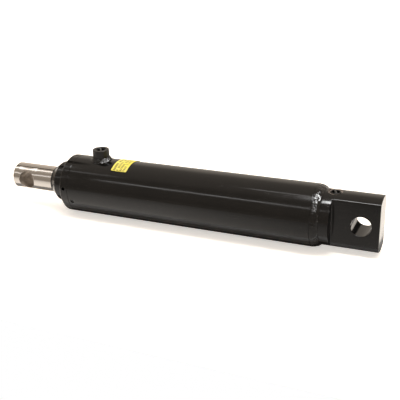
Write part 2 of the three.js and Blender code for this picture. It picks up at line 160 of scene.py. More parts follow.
class Skin:
    """Points and faces of one piece, gathered before its mesh is made. Each face has a finish number."""

    def __init__(self):
        self.points = []
        self.faces = []
        self.finishes = []

    def point(self, place):
        self.points.append(Vector(place))
        return len(self.points) - 1

    def ring(self, places):
        return [self.point(place) for place in places]

    def strip(self, first, second, finish=0, left_open=()):
        """Faces between two rings of one length, or between a ring and a single point."""
        count = max(len(first), len(second))
        for j in range(count):
            if j in left_open:
                continue
            k = (j + 1) % count
            if len(first) == 1:
                corners = (first[0], second[k], second[j])
            elif len(second) == 1:
                corners = (first[j], first[k], second[0])
            else:
                corners = (first[j], first[k], second[k], second[j])
            self.faces.append(corners)
            self.finishes.append(finish)

    def cover(self, rings, windows=(), finish=0, closed=False):
        """Faces over neighbouring rings. A window is (first ring, last ring, first column, last column)."""
        count = max(len(ring) for ring in rings)
        pairs = len(rings) if closed else len(rings) - 1
        for i in range(pairs):
            left_open = {
                j % count
                for top, bottom, left, right in windows if top <= i < bottom
                for j in range(left, right)
            }
            self.strip(rings[i], rings[(i + 1) % len(rings)], finish, left_open)

    def border(self, rings, window):
        """The points round a window, in order."""
        top, bottom, left, right = window
        count = len(rings[top])
        loop = [rings[top][j % count] for j in range(left, right)]
        loop += [rings[i][right % count] for i in range(top, bottom)]
        loop += [rings[bottom][j % count] for j in range(right, left, -1)]
        loop += [rings[i][left % count] for i in range(bottom, top, -1)]
        return loop

    def bore(self, border, axes, radius, ease, height, side=1, rim_finish=0):
        """Fills a window in to a round hole with an eased rim, and gives the ring at the top of its wall.

        axes is (origin, across, along, out), and height(a, b) is the surface's height along out."""
        origin, across, along, out = axes
        offsets = [self.points[i] - origin for i in border]
        local = [(offset.dot(across), offset.dot(along)) for offset in offsets]
        levels = [(radius + ease, share, 0, 0) for share in (0.4, 0.7, 0.88, 0.97, 1.0)]
        levels += [
            (radius + ease * flat, 1, ease * steep, rim_finish) for flat, steep in quarter(EASE_STEPS)[1:]]
        last = border
        for reach, share, drop, finish in levels:
            places = []
            for a, b in local:
                bearing = math.atan2(b, a)
                a += (reach * math.cos(bearing) - a) * share
                b += (reach * math.sin(bearing) - b) * share
                places.append(origin + across * a + along * b + out * (height(a, b) - side * drop))
            ring = self.ring(places)
            self.strip(last, ring, finish)
            last = ring
        return last

    def sink(self, ring, axes, profile, bottom, finish=0):
        """Carries a hole's wall on from ring through (radius, height) points, to a point at bottom."""
        origin, across, along, out = axes
        bearings = []
        for i in ring:
            offset = self.points[i] - origin
            bearings.append(math.atan2(offset.dot(along), offset.dot(across)))
        for radius, height in profile:
            lower = self.ring(
                origin + across * radius * math.cos(b) + along * radius * math.sin(b) + out * height
                for b in bearings)
            self.strip(ring, lower, finish)
            ring = lower
        self.strip(ring, [self.point(origin + out * bottom)], finish)

    def bridge(self, first, second, finish=0, cuts=1):
        """A wall between two rings of one length, joined where they are nearest."""
        count = len(first)

        def spread(order):
            return sum((self.points[first[j]] - self.points[order[j]]).length for j in range(0, count, 5))

        orders = [
            [base[(j + shift) % count] for j in range(count)]
            for base in (second, second[::-1]) for shift in range(count)
        ]
        best = min(orders, key=spread)
        last = first
        for step in range(1, cuts):
            share = step / cuts
            ring = self.ring(
                self.points[a].lerp(self.points[b], share) for a, b in zip(first, best)
            )
            self.strip(last, ring, finish)
            last = ring
        self.strip(last, best, finish)


def outline_of(node):
    """The node's section in the half-plane below its axis, as (x, radius) points in order.

    Gives the points and whether they close on themselves; an open outline starts and ends on the axis."""
    mesh = frame["nodes"][node].data
    links = {}

    def key(vertex):
        return (round(vertex.co.x, 6), round(-vertex.co.z, 6))

    def in_plane(vertex):
        return abs(vertex.co.y) < TINY and vertex.co.z < TINY

    for polygon in mesh.polygons:
        corners = [mesh.vertices[i] for i in polygon.vertices]
        for a, b in zip(corners, corners[1:] + corners[:1]):
            if in_plane(a) and in_plane(b) and key(a) != key(b):
                links.setdefault(key(a), set()).add(key(b))
                links.setdefault(key(b), set()).add(key(a))
    ends = sorted(place for place, near in links.items() if len(near) == 1)
    place = ends[0] if ends else min(links)
    points = [place]
    while True:
        ahead = sorted(links[place] - set(points[-2:]) - ({points[0]} if len(points) > 2 else set()))
        ahead = [p for p in ahead if p not in points]
        if not ahead:
            break
        place = ahead[0] if len(points) > 1 else max(ahead, key=lambda p: p[1])
        points.append(place)
    return points, not ends


def eased(points, closed, ease, steps=EASE_STEPS):
    """The outline with its corners rounded to the radius ease, or less where a side is short."""
    count = len(points)
    result = []
    for i, (x, r) in enumerate(points):
        corner = Vector((x, r))
        if not closed and i in (0, count - 1):
            result.append((x, r))
            continue
        back = Vector(points[i - 1]) - corner
        ahead = Vector(points[(i + 1) % count]) - corner
        opening = back.angle(ahead)
        if math.pi - opening < CORNER:
            result.append((x, r))
            continue
        reach = min(ease / math.tan(opening / 2), 0.42 * back.length, 0.42 * ahead.length)
        start = corner + back.normalized() * reach
        end = corner + ahead.normalized() * reach
        radius = reach * math.tan(opening / 2)
        centre = corner + (back.normalized() + ahead.normalized()).normalized() * (
            radius / math.sin(opening / 2))
        spoke = start - centre
        sweep = math.pi - opening
        direction = 1 if spoke.x * (end - centre).y - spoke.y * (end - centre).x > 0 else -1
        for step in range(steps + 1):
            turn = direction * sweep * step / steps
            result.append(tuple(centre + Matrix.Rotation(turn, 2) @ spoke))
    return result


def with_stations(points, radius, stations):
    """The outline with a point added at each station on its stretches of that radius."""
    result = []
    for i, here in enumerate(points):
        result.append(here)
        ahead = points[(i + 1) % len(points)]
        if abs(here[1] - radius) > TINY or abs(ahead[1] - radius) > TINY:
            continue
        low_x, high_x = sorted((here[0], ahead[0]))
        inside = sorted((s for s in stations if low_x + TINY < s < high_x - TINY), reverse=ahead[0] < here[0])
        result += [(s, radius) for s in inside]
    return result


def rows_between(points, radius, left, right):
    """First and last outline points on the stretch of that radius between two stations."""
    rows = [
        i for i, (x, r) in enumerate(points)
        if abs(r - radius) < TINY and left - TINY <= x <= right + TINY
    ]
    return min(rows), max(rows)


def dome(radius):
    """The height of a cylinder's surface over its axis, for Skin.bore."""
    return lambda a, b: math.sqrt(radius ** 2 - b * b)


def spun(skin, points, columns=COLUMNS, place=around):
    """The outline's rings round an axis. A point on the axis is a ring of one."""
    return [
        skin.ring(place(x, r, angle) for angle in (turns(columns) if r > TINY else (0,)))
        for x, r in points]


def radial_axes(x, angle):
    """Axes of a hole drilled towards the cylinder's axis at that angle."""
    out = around(0, 1, angle)
    across = Vector((1, 0, 0))
    return Vector((x, 0, 0)), across, out.cross(across), out


def threaded(bottom, top, radius, depth):
    """Outline points of thread grooves cut into a wall, from bottom to top."""
    points = []
    z = bottom
    while z + THREAD_PITCH < top:
        groove = radius + depth
        points += [(z, radius), (z + 0.4 * THREAD_PITCH, groove), (z + 0.6 * THREAD_PITCH, groove)]
        z += THREAD_PITCH
    points.append((z, radius))
    return points


def piece(skin, name, body, finishes, node):
    """Makes the object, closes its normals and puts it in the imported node's place."""
    mesh = bpy.data.meshes.new(name)
    work = bmesh.new()
    vertices = [work.verts.new(place) for place in skin.points]
    for corners, finish in zip(skin.faces, skin.finishes):
        face = work.faces.new([vertices[i] for i in corners])
        face.material_index = finish
        face.smooth = True
    loose = [vertex for vertex in work.verts if not vertex.link_faces]
    bmesh.ops.delete(work, geom=loose, context="VERTS")
    bmesh.ops.recalc_face_normals(work, faces=work.faces)
    open_edges = sum(1 for edge in work.edges if len(edge.link_faces) != 2)
    if open_edges:
        raise RuntimeError(f"{name} has {open_edges} open edges")
    work.to_mesh(mesh)
    work.free()
    for finish in finishes:
        mesh.materials.append(finish)
    thing = bpy.data.objects.new(name, mesh)
    bpy.context.scene.collection.objects.link(thing)
    weighted = thing.modifiers.new("weighted_normals", "WEIGHTED_NORMAL")
    weighted.keep_sharp = True
    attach(thing, body)
    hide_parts(node)


# ---- Materials ----

class Nodes:
    """Makes and links the nodes of one tree."""

    def __init__(self, tree):
        self.tree = tree

    def node(self, kind, **settings):
        made = self.tree.nodes.new(kind)
        for name, value in settings.items():
            setattr(made, name, value)
        return made

    def feed(self, socket, value):
        """Links or sets one input. A colour is (r, g, b)."""
        if isinstance(value, bpy.types.NodeSocket):
            self.tree.links.new(value, socket)
        else:
            socket.default_value = (*value, 1) if socket.type == "RGBA" else value

    def plug(self, made, **values):
        """Feeds inputs by name, with _ for a space."""
        for name, value in values.items():
            self.feed(made.inputs[name.replace("_", " ")], value)
        return made

    def range(self, source, low_in, high_in, low_out, high_out):
        made = self.node("ShaderNodeMapRange")
        self.plug(made, Value=source, From_Min=low_in, From_Max=high_in, To_Min=low_out, To_Max=high_out)
        return made.outputs["Result"]

    def math(self, operation, *values):
        made = self.node("ShaderNodeMath", operation=operation)
        for socket, value in zip(made.inputs, values):
            self.feed(socket, value)
        return made.outputs["Value"]

    def ramp(self, source, *stops):
        """A colour ramp from (place, (r, g, b)) stops."""
        made = self.plug(self.node("ShaderNodeValToRGB"), Fac=source)
        elements = made.color_ramp.elements
        while len(elements) < len(stops):
            elements.new(0.5)
        for element, (place, colour) in zip(elements, stops):
            element.position = place
            element.color = (*colour, 1)
        return made.outputs["Color"]

    def split(self, place):
        return self.plug(self.node("ShaderNodeSeparateXYZ"), Vector=place).outputs

    def angle_of(self, parts):
        """The angle of a split place round the X axis, from -Y."""
        return self.math("ARCTAN2", parts["Z"], self.math("MULTIPLY", parts["Y"], -1))


class Recipe(Nodes):
    """A Principled material from procedural textures in the piece's own coordinates."""

    def __init__(self, name, metallic=0.0, ior=1.5):
        self.material = bpy.data.materials.new(name)
        self.material.use_nodes = True
        super().__init__(self.material.node_tree)
        self.shader = self.plug(self.tree.nodes["Principled BSDF"], Metallic=metallic, IOR=ior)
        self.place = self.node("ShaderNodeTexCoord").outputs["Object"]

    def noise(self, scale, detail=2.0, roughness=0.5, stretch=(1, 1, 1)):
        mapping = self.plug(self.node("ShaderNodeMapping"), Vector=self.place, Scale=stretch)
        made = self.node("ShaderNodeTexNoise")
        self.plug(made, Vector=mapping.outputs["Vector"], Scale=scale, Detail=detail, Roughness=roughness)
        return made.outputs["Fac"]

    def between(self, lowest, highest, *grain):
        """A noise spread from lowest to highest. Its grain is what noise() takes."""
        return self.range(self.noise(*grain), 0.3, 0.7, lowest, highest)

    def spots(self, scale):
        """Distance to the nearest of many scattered points, in cells."""
        made = self.plug(self.node("ShaderNodeTexVoronoi"), Vector=self.place, Scale=scale)
        return made.outputs["Distance"]

    def mix(self, factor, first, second):
        made = self.node("ShaderNodeMix", data_type="RGBA")
        for i, value in ((0, factor), (6, first), (7, second)):
            self.feed(made.inputs[i], value)
        return made.outputs[2]

    def bump(self, height, distance, below=None):
        made = self.plug(self.node("ShaderNodeBump"), Height=height, Distance=distance, Strength=1.0)
        if below is not None:
            self.plug(made, Normal=below)
        return made.outputs["Normal"]

    def finish(self, colour, roughness, normal=None):
        self.plug(self.shader, Base_Color=colour, Roughness=roughness)
        if normal is not None:
            self.plug(self.shader, Normal=normal)
        return self.material


def surface(name, stops, colour_grain, roughness, rough_grain, bumps, metallic=0.0, ior=1.5):
    """A material whose colour, roughness and bumps each follow a noise. A bump is (distance, grain)."""
    recipe = Recipe(name, metallic, ior)
    normal = None
    for distance, grain in bumps:
        normal = recipe.bump(recipe.noise(*grain), distance, normal)
    return recipe.finish(
        recipe.ramp(recipe.noise(*colour_grain), *stops), recipe.between(*roughness, *rough_grain), normal)


def black_enamel(name, smoothest, roughest):
    """Sprayed enamel: slight waves, orange peel and a few dust nibs."""
    recipe = Recipe(name)
    patches = recipe.noise(38, 4, 0.6)
    paint = recipe.ramp(patches, (0.3, (0.0017, 0.0014, 0.0012)), (0.7, (0.0036, 0.003, 0.0025)))
    nibs = recipe.range(recipe.spots(150), 0.03, 0.07, 1, 0)
    colour = recipe.mix(nibs, paint, (0.03, 0.026, 0.022))
    roughness = recipe.between(smoothest, roughest, 55, 5, 0.6, (0.35, 1, 1))
    waves = recipe.bump(recipe.noise(70, 1, 0.4, (0.3, 1, 1)), 0.06 * MM)
    peel = recipe.bump(recipe.noise(420, 2, 0.5), 0.012 * MM, waves)
    return recipe.finish(colour, roughness, recipe.bump(nibs, 0.05 * MM, peel))


def grained(name, dark, light, rough, grain, depth, ior=1.5):
    """Moulded plastic, rubber or cast polymer: a slight mottle and a fine grain."""
    return surface(
        name, ((0.3, dark), (0.7, light)), (180, 4, 0.6), (rough - 0.08, rough + 0.08), (240, 3),
        [(depth, (grain, 3, 0.6))], ior=ior)


LABEL_COLUMN = 5 * MM
LABEL_ROW = 2.6 * MM
LABEL_EDGE = 2 * MM


def label_print():
    """Yellow film with generic ruled marks in four columns and uneven print."""
    recipe = Recipe("yellow_label")
    parts = recipe.split(recipe.place)
    x = recipe.math("SUBTRACT", parts["X"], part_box("label")[0].x + LABEL_EDGE)
    along = recipe.math("MULTIPLY", recipe.angle_of(parts), BARREL_R)
    column = recipe.math("DIVIDE", x, LABEL_COLUMN)
    row = recipe.math("DIVIDE", along, LABEL_ROW)
    heading = recipe.math("LESS_THAN", column, 1)
    thickness = recipe.math("MULTIPLY_ADD", heading, 0.14, 0.7)

    def within(value, lowest, highest):
        return recipe.math(
            "MULTIPLY", recipe.math("GREATER_THAN", value, lowest), recipe.math("LESS_THAN", value, highest))

    in_column = within(recipe.math("FRACT", column), 0.14, 0.88)
    in_row = within(recipe.math("FRACT", row), 0.16, thickness)
    cell = recipe.node("ShaderNodeCombineXYZ")
    recipe.plug(cell, X=recipe.math("FLOOR", column), Y=recipe.math("FLOOR", row))
    chance = recipe.plug(recipe.node("ShaderNodeTexWhiteNoise"), Vector=cell.outputs["Vector"])
    printed = recipe.math("GREATER_THAN", chance.outputs["Value"], 0.12)
    marks = recipe.math("MULTIPLY", recipe.math("MULTIPLY", in_column, in_row),
                        recipe.math("MULTIPLY", printed, within(x, 0, 4 * LABEL_COLUMN)))
    faint = recipe.math("MULTIPLY", marks, recipe.range(recipe.noise(700, 3, 0.6), 0.35, 0.65, 0.75, 1.0))
    film = recipe.ramp(recipe.noise(90, 3, 0.5), (0.35, (0.76, 0.64, 0.07)), (0.65, (0.84, 0.73, 0.14)))
    colour = recipe.mix(faint, film, (0.045, 0.033, 0.012))
    return recipe.finish(
        colour, recipe.between(0.32, 0.5, 300, 3), recipe.bump(recipe.noise(500, 3, 0.5), 0.015 * MM))


enamel = black_enamel("black_enamel", 0.07, 0.17)
satin_enamel = black_enamel("satin_enamel", 0.3, 0.42)
# Enamel over weld metal, with the bead's pits showing through.
weld_paint = surface(
    "weld_enamel", ((0.3, (0.002, 0.0018, 0.0016)), (0.75, (0.006, 0.005, 0.004))), (120, 4, 0.6),
    (0.05, 0.15), (160, 4, 0.6), [(0.85 * MM, (280, 2, 0.4)), (0.03 * MM, (900, 2, 0.5))])
# Thin enamel in the reamed pin hole.
bore_paint = surface(
    "worn_bore_enamel", ((0.4, (0.0025, 0.002, 0.0018)), (0.75, (0.006, 0.005, 0.0042))), (160, 4, 0.6),
    (0.06, 0.14), (260, 3), [(0.01 * MM, (1500, 2, 0.6, (0.05, 1, 0.05)))])
# Bare metal with scraps of paint, round a tapped hole.
chipped = surface(
    "chipped_edge",
    ((0.4, (0.03, 0.025, 0.02)), (0.52, (0.24, 0.2, 0.175)), (0.72, (0.55, 0.48, 0.43))), (650, 4, 0.6),
    (0.25, 0.5), (500, 3), [(0.05 * MM, (1400, 3))], metallic=0.8)
# Hard chrome over a ground bar: fine rings from the grinding and faint lengthwise wear.
chromed = surface(
    "chromed_rod", ((0.3, (0.60, 0.555, 0.51)), (0.7, (0.68, 0.635, 0.59))), (30, 3, 0.5, (0.2, 1, 1)),
    (0.07, 0.2), (900, 3, 0.6, (0.02, 1, 1)),
    [(0.0015 * MM, (1500, 2, 0.6, (1, 0.03, 0.03))), (0.02 * MM, (60, 2, 0.5, (0.2, 1, 1)))], metallic=1.0)
# Unplated steel inside a drilled hole, with the tool's rings and a brown bloom.
bored = surface(
    "bored_steel", ((0.3, (0.2, 0.165, 0.135)), (0.7, (0.36, 0.31, 0.26))), (140, 5, 0.6),
    (0.38, 0.55), (300, 3), [(0.02 * MM, (1800, 2, 0.6, (0.05, 1, 0.05)))], metallic=0.75)
# Machined steel with fine tool rings round the axis.
steel = surface(
    "bare_steel", ((0.3, (0.33, 0.31, 0.29)), (0.7, (0.5, 0.48, 0.45))), (60, 4, 0.6),
    (0.25, 0.42), (220, 3), [(0.01 * MM, (2500, 2, 0.6, (1, 0.03, 0.03)))], metallic=1.0)
plastic = grained("black_plastic", (0.006, 0.0055, 0.005), (0.012, 0.011, 0.01), 0.36, 900, 0.03 * MM)
rubber = grained("nitrile", (0.008, 0.008, 0.008), (0.016, 0.016, 0.016), 0.62, 1200, 0.03 * MM)
urethane = grained("polyurethane", (0.03, 0.045, 0.09), (0.045, 0.065, 0.12), 0.42, 900, 0.02 * MM)
black_urethane = grained(
    "wiper_urethane", (0.004, 0.004, 0.004), (0.008, 0.0075, 0.007), 0.5, 900, 0.02 * MM, ior=1.2)
nylon = grained("guide_ring", (0.42, 0.33, 0.2), (0.55, 0.45, 0.29), 0.5, 1100, 0.02 * MM)
printed_film = label_print()


# ---- Barrel ----

def barrel():
    """The tube, with the port's drilled hole and the lock screw's hole right through its wall."""
    outline, closed = outline_of("barrel_tube")
    bore_r = min(r for _, r in outline)
    thread_r = max(r for _, r in outline if bore_r + 1.2 * MM < r < BARREL_R - 4 * MM)
    points = with_stations(eased(outline, closed, 0.5 * MM), BARREL_R, [
        MARK_X + MARK_WIDTH * share for share in (-1, -0.5, 0.5, 1)])
    points = [
        (x, r - MARK_DEPTH if abs(x - MARK_X) < 0.6 * MARK_WIDTH and r > BARREL_R - TINY else r)
        for x, r in points]
    holes = (
        (PORT_X, math.pi / 2, PORT_DRILL_R, bore_r, about(PORT_X, 2 * PORT_DRILL_R, 16)),
        (SCREW_X, SCREW_ANGLE, SCREW_HOLE_R, thread_r, about(SCREW_X, 1.5 * SCREW_HOLE_R, 8)),
    )
    for _, _, _, inner_r, stations in holes:
        points = with_stations(with_stations(points, BARREL_R, stations), inner_r, stations)
    skin = Skin()
    rings = spun(skin, points)
    pitch = 2 * math.pi / COLUMNS
    bores = []
    for x, angle, radius, inner_r, stations in holes:
        reach = math.ceil(1.7 * radius / inner_r / pitch) + 1
        centre = round(angle / pitch)
        for surface_r, side in ((BARREL_R, 1), (inner_r, -1)):
            rows = rows_between(points, surface_r, stations[0], stations[-1])
            window = (*rows, centre - reach, centre + reach)
            bores.append((window, radial_axes(x, angle), radius, surface_r, side))
    skin.cover(rings, [window for window, *_ in bores], closed=closed)
    walls = [
        skin.bore(skin.border(rings, window), axes, radius, 0.3 * MM, dome(surface_r), side)
        for window, axes, radius, surface_r, side in bores]
    for outer, inner in zip(walls[::2], walls[1::2]):
        skin.bridge(outer, inner)
    piece(skin, "barrel_shell", "barrel", [enamel], "barrel_tube")


# ---- Base end block ----

CORNER_POWER = 50  # how tightly the tang's long edges are rounded
SHOULDER_FILLET = 1.4 * MM
END_EASE = 0.7 * MM
PORT_REACH = 18.75  # degrees from the middle of the base port to the edge of its window


def block_angles():
    """Columns round the block, closer together where the flats meet the bar's surface."""
    regular = [math.degrees(angle) for angle in turns(COLUMNS)]
    edges = [60, 120, 240, 300]
    extra = [edge + offset for edge in edges for offset in (-1.2, -0.75, -0.45, -0.2, 0.2, 0.45, 0.75, 1.2)]
    return [math.radians(a) for a in sorted(set(round(a, 4) for a in regular + extra))]


def smooth_step(value):
    value = min(max(value, 0), 1)
    return value * value * (3 - 2 * value)


def block_place(line, angle):
    """A point of the block. line is (x on the flats, x on the bar, bar radius, half thickness, share cut)."""
    x_flat, x_bar, radius, half, share = line
    lean = abs(math.cos(angle))
    x = x_bar + (x_flat - x_bar) * smooth_step((lean - 0.35) / 0.15)
    if share and lean > 0.01:
        ratio = radius * lean / half
        trimmed = radius * (1 + ratio ** CORNER_POWER) ** (-1 / CORNER_POWER)
        radius += share * (trimmed - radius)
    return around(x, radius, angle)


def base_block():
    """Spigot, bar and tang in one skin, with the pin hole, the spot-faced port and the gallery."""
    shoulder = TUBE_RIGHT + GAP
    port_left = BASE_PORT_X - SEAT_R - 1.2 * MM
    port_right = BASE_PORT_X + SEAT_R + 1.2 * MM
    gallery_end = BASE_PORT_X - PORT_DRILL_R - MM
    root = eased([
        (gallery_end, 0), (gallery_end, GALLERY_R), (BLOCK_LEFT, GALLERY_R), (BLOCK_LEFT, SLIDING_R - MM),
        (BLOCK_LEFT + MM, SLIDING_R), (shoulder, SLIDING_R), (shoulder, BAR_R), (port_left - MM, BAR_R),
    ], False, 0.4 * MM)
    lines = [(x, x, r, TANG_HALF, 0) for x, r in root]
    cut = [
        (-1.0 * MM, 0, 0), (-0.4 * MM, 0, 0), (-0.12 * MM, 0, 0.004), (0, SHOULDER_FILLET, 0.02),
        (0.02 * MM, SHOULDER_FILLET, 0.96),
    ]
    cut += [(0.04 * MM + SHOULDER_FILLET * out, SHOULDER_FILLET * up, 1) for up, out in quarter(5)]
    steps = 9
    port_stations = spread_over(port_left, port_right, len(cut) - 1 + steps)
    port_rows = (len(lines), len(lines) + len(port_stations) - 1)
    for (offset, rise, share), x_bar in zip(cut, port_stations):
        lines.append((FLATS_LEFT + offset, x_bar, BAR_R, TANG_HALF + rise, share))
    last_flat = FLATS_LEFT + cut[-1][0]
    for x_flat, x_bar in zip(spread_over(last_flat, port_right, steps)[1:], port_stations[len(cut):]):
        lines.append((x_flat, x_bar, BAR_R, TANG_HALF, 1))
    hole_half = PIN_HOLE_R + 3.4 * MM
    before_hole = -hole_half - 3 * MM
    pin_steps = 36
    pin_rows = (len(lines) + 1, len(lines) + 1 + pin_steps)
    lines += [(x, x, BAR_R, TANG_HALF, 1) for x in [before_hole] + about(0, hole_half, pin_steps)]
    for inward, inset in quarter(EASE_STEPS):
        x = BLOCK_RIGHT - END_EASE * inward
        lines.append((x, x, BAR_R - END_EASE * inset, TANG_HALF - END_EASE * inset, 1))
    for inset in (1.2 * MM, 6 * MM):
        lines.append((BLOCK_RIGHT, BLOCK_RIGHT, BAR_R - inset, TANG_HALF - inset, 1))
    lines.append((BLOCK_RIGHT, BLOCK_RIGHT, 0, TANG_HALF, 0))

    angles = block_angles()
    skin = Skin()
    rings = [
        skin.ring(block_place(line, angle) for angle in (angles if line[2] > TINY else (0,)))
        for line in lines]

    def columns_about(centre, reach):
        """First and last column within reach of an angle, in degrees; the last may run past a full turn."""
        first, last = (
            min(range(len(angles)), key=lambda j: abs(angles[j] - math.radians(edge % 360)))
            for edge in (centre - reach, centre + reach))
        return first, last if last > first else last + len(angles)

    side_reach = math.degrees(math.atan((PIN_HOLE_R + 3.6 * MM) / TANG_HALF))
    side_reach = round(side_reach / (360 / COLUMNS)) * 360 / COLUMNS
    front, rear = ((*pin_rows, *columns_about(centre, side_reach)) for centre in (0, 180))
    port = (*port_rows, *columns_about(90, PORT_REACH))
    skin.cover(rings, (front, rear, port))
    pin_walls = [
        skin.bore(skin.border(rings, window), radial_axes(0, angle), PIN_HOLE_R, 0.6 * MM,
                  lambda a, b: TANG_HALF)
        for window, angle in ((front, 0), (rear, math.pi))
    ]
    skin.bridge(*pin_walls, finish=2, cuts=4)
    seat = BAR_R - SEAT_DEPTH
    foot = seat - BASE_PORT_DEPTH
    thread_r = radius_of("base_port_plug") + GAP
    mouth_r = thread_r + PORT_CHAMFER
    axes = radial_axes(BASE_PORT_X, math.pi / 2)
    wall = skin.bore(skin.border(rings, port), axes, SEAT_R, 0.2 * MM, dome(BAR_R), rim_finish=1)
    thread = threaded(foot + MM, seat - PORT_CHAMFER - 0.3 * MM, thread_r, THREAD_DEPTH)
    profile = [(SEAT_R - 0.02 * MM, seat), (SEAT_R - 0.6 * MM, seat), (mouth_r + 0.2 * MM, seat),
               (mouth_r, seat - 0.05 * MM), (thread_r, seat - PORT_CHAMFER)]
    profile += [(r, z) for z, r in thread[::-1]] + [(thread_r, foot), (PORT_DRILL_R, foot), (PORT_DRILL_R, 0)]
    skin.sink(wall, axes, profile, -0.3 * PORT_DRILL_R, finish=1)
    piece(skin, "tang_block", "barrel", [enamel, chipped, bore_paint], "base_end_block")


# ---- Welds ----

def ripple(phase):
    """Height of stacked weld ripples, from 0 to 1, steep on one side of each."""
    share = phase % 1
    return math.sin(math.pi * share ** 0.7) ** 0.8


def base_weld():
    """The bead between the tube and the bar, built up of overlapping ripples."""
    left, right = TUBE_RIGHT - 4.2 * MM + GAP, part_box("base_weld_bead")[1].x
    floor = BAR_R + 0.05 * MM
    crest = BARREL_R - 0.15 * MM
    # (share of its width, share of the way down from crest to floor)
    shape = ((0.0, 0.0), (0.06, 0.04), (0.2, 0.10), (0.35, 0.17), (0.5, 0.27), (0.63, 0.40),
             (0.76, 0.57), (0.87, 0.78), (0.95, 0.93), (1.0, 1.0))
    columns = 480
    ripples = 52
    skin = Skin()
    rings = []
    for along, down in shape:
        places = []
        bow = 1.1 * (0.5 - along) ** 2
        swell = math.sin(math.pi * min(along * 1.02, 1)) ** 0.6
        for angle in turns(columns):
            spot = Vector((3 * math.cos(angle), 3 * math.sin(angle), 2 * along))
            lump = noise.noise(spot) * 0.5 + noise.noise(3.1 * spot) * 0.45
            wave = ripple(ripples * angle / (2 * math.pi) + bow + 1.6 * lump)
            height = crest - down * (crest - floor)
            height += swell * (0.24 * MM * (wave - 0.6) + 0.85 * MM * lump)
            x = left + along * (right - left) + (0.9 * MM * lump * along if along > 0.5 else 0)
            places.append(around(min(x, right), min(max(height, floor), BARREL_R - 0.02 * MM), angle))
        rings.append(skin.ring(places))
    root_r = floor - 0.03 * MM
    rings += spun(skin, [(right - 0.4 * MM, root_r), (left + 1.5 * MM, root_r)], columns)
    skin.cover(rings, closed=True)
    piece(skin, "base_weld", "barrel", [weld_paint], "base_weld_bead")


def on_barrel(y, lift):
    """Height of the barrel's surface at y, raised by lift."""
    return math.sqrt((BARREL_R + lift) ** 2 - y * y)


def saddle(skin, radius, lift, columns):
    """A ring round the rod-end port's axis that lies on the barrel."""
    return skin.ring(
        (PORT_X + radius * math.cos(a), radius * math.sin(a), on_barrel(radius * math.sin(a), lift))
        for a in turns(columns))


def port_weld():
    """The fillet weld round the port boss, which follows the barrel's curve."""
    inner = radius_of("rod_port_boss") + 0.05 * MM
    outer = radius_of("rod_port_weld")
    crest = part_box("rod_port_weld")[1].z
    columns = 240
    ripples = 19
    skin = Skin()
    rings = []
    for share in spread_over(0, 1, 12):
        places = []
        swell = math.sin(math.pi * share) ** 0.7
        fall = (1 - share) ** 1.25
        top = crest - 0.5 * MM * (1 - fall)
        for angle in turns(columns):
            lump = noise.noise(Vector((2.2 * math.cos(angle), 2.2 * math.sin(angle), 1.7 * share + 5)))
            wave = ripple(ripples * angle / (2 * math.pi) + 0.35 * math.sin(math.pi * share) + 1.4 * lump)
            reach = min(inner + (outer - inner) * share * (1 + 0.10 * lump), outer)
            y = reach * math.sin(angle)
            ground = on_barrel(y, 0.04 * MM)
            height = ground + (top - ground) * fall * (1 - 0.06 * (1 + lump))
            height += swell * (0.6 * MM * (wave - 0.35) + 1.6 * MM * lump)
            places.append((PORT_X + reach * math.cos(angle), y, min(max(height, ground), crest)))
        rings.append(skin.ring(places))
    rings += [saddle(skin, inner + (outer - inner) * share, 0.01 * MM, columns) for share in (0.97, 0.03)]
    skin.cover(rings, closed=True)
    piece(skin, "port_fillet_weld", "barrel", [weld_paint], "rod_port_weld")


# ---- Rod-end port ----

def port_boss():
    """A turned boss whose foot follows the barrel, with a chamfered, threaded mouth."""
    outer = radius_of("rod_port_boss")
    inner = radius_of("rod_port_plug") + GAP
    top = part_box("rod_port_boss")[1].z
    foot_clear = BARREL_R + 1.2 * MM
    outline = eased([
        (foot_clear, inner), (foot_clear, outer), (top, outer), (top, inner + PORT_CHAMFER),
        (top - PORT_CHAMFER, inner), (foot_clear, inner),
    ], False, 0.6 * MM)[EASE_STEPS + 1:-1]
    outline += threaded(foot_clear + 1 * MM, top - 2.2 * MM, inner, THREAD_DEPTH)[::-1]
    skin = Skin()
    columns = 144
    rings = [saddle(skin, outer, 0.02 * MM, columns)]
    rings += spun(skin, outline, columns, upright_at(PORT_X))
    rings.append(saddle(skin, inner, 0.02 * MM, columns))
    skin.cover(rings, closed=True)
    piece(skin, "port_boss", "barrel", [satin_enamel], "rod_port_boss")


def add_box(skin, centre, size, turn, ease):
    """A box with eased edges, turned about Z: rings of a rounded rectangle from bottom to top."""
    half_x, half_y, half_z = (side / 2 for side in size)
    spin = Matrix.Rotation(turn, 3, "Z")
    levels = [(-half_z, ease), (-half_z + ease, 0), (half_z - ease, 0)]
    tops = [(1 - math.sin(t), 1 - math.cos(t)) for t in (0.4, 0.8, 1.2, math.pi / 2)]
    levels += [(half_z - ease * down, ease * inward) for down, inward in tops]
    rings = []
    for z, inset in levels:
        places = []
        for corner_x, corner_y, start in ((1, 1, 0), (-1, 1, 90), (-1, -1, 180), (1, -1, 270)):
            for step in range(4):
                angle = math.radians(start + 30 * step)
                places.append(centre + spin @ Vector((
                    corner_x * (half_x - ease) + (ease - inset) * math.cos(angle),
                    corner_y * (half_y - ease) + (ease - inset) * math.sin(angle), z)))
        rings.append(skin.ring(places))
    bottom = skin.ring([centre + Vector((0, 0, -half_z))])
    top = skin.ring([centre + Vector((0, 0, half_z))])
    skin.cover([bottom, *rings, top])


